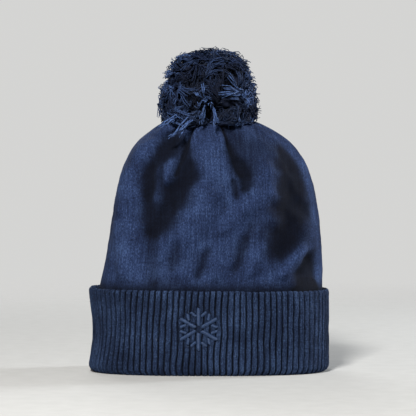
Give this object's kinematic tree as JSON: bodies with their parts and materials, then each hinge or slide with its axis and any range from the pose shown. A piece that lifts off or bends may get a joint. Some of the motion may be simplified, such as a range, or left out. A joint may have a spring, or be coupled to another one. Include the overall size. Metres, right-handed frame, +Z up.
{
  "type": "pom pom beanie",
  "caption": "Knitted beanie with a turned-up rib cuff, a darted double-layer crown, a raised star motif and a flopping yarn pom.",
  "frame": {"origin": "bottom centre of the turned-up cuff, on the plane that the hat stands on", "axes": "+Z up from the cuff to the pom; the embroidered front faces -Y; +X is to the right of a viewer who looks at the front"},
  "size_m": [0.2201, 0.1256, 0.296],
  "materials": {
    "crown_knit": "matte",
    "lining_knit": "matte",
    "rib_knit": "matte",
    "seam_thread": "matte",
    "satin_thread": "satin",
    "felt": "matte",
    "stabiliser": "matte",
    "label_tape": "satin",
    "pom_yarn": "matte",
    "tie_yarn": "matte"
  },
  "bodies": {
    "hat": {"crown_shell": "crown_knit", "crown_lining": "lining_knit", "rib_cuff": "rib_knit", "cuff_link_seam": "seam_thread", "cuff_back_seam": "seam_thread", "crown_back_seam": "seam_thread", "dart_seam_front_left": "seam_thread", "dart_seam_front_right": "seam_thread", "dart_seam_back_left": "seam_thread", "dart_seam_back_right": "seam_thread", "apex_gather_thread": "seam_thread", "apex_backing_disc": "felt", "embroidery_motif": "satin_thread", "embroidery_backing": "stabiliser", "care_label_stitches": "seam_thread"},
    "pom_tie": {"tie_loop": "tie_yarn", "tie_knot": "tie_yarn"},
    "pom": {"pom_yarn": "pom_yarn", "pom_binding_cord": "tie_yarn"},
    "care_label": {"care_label": "label_tape"}
  },
  "joints": [
    {"name": "pom_nod", "type": "hinge", "parent": "hat", "child": "pom_tie", "pos_m": [0, 0, 0.232], "axis": [1, 0, 0], "range_deg": [-12, 12], "stiffness_Nm_per_rad": 0.08},
    {"name": "pom_sway", "type": "hinge", "parent": "pom_tie", "child": "pom", "pos_m": [0, 0, 0.232], "axis": [0, 1, 0], "range_deg": [-12, 12], "stiffness_Nm_per_rad": 0.08},
    {"name": "care_label_flap", "type": "hinge", "parent": "hat", "child": "care_label", "pos_m": [0, 0.0532, 0.0575], "axis": [-1, 0, 0], "range_deg": [0, 75]}
  ]
}
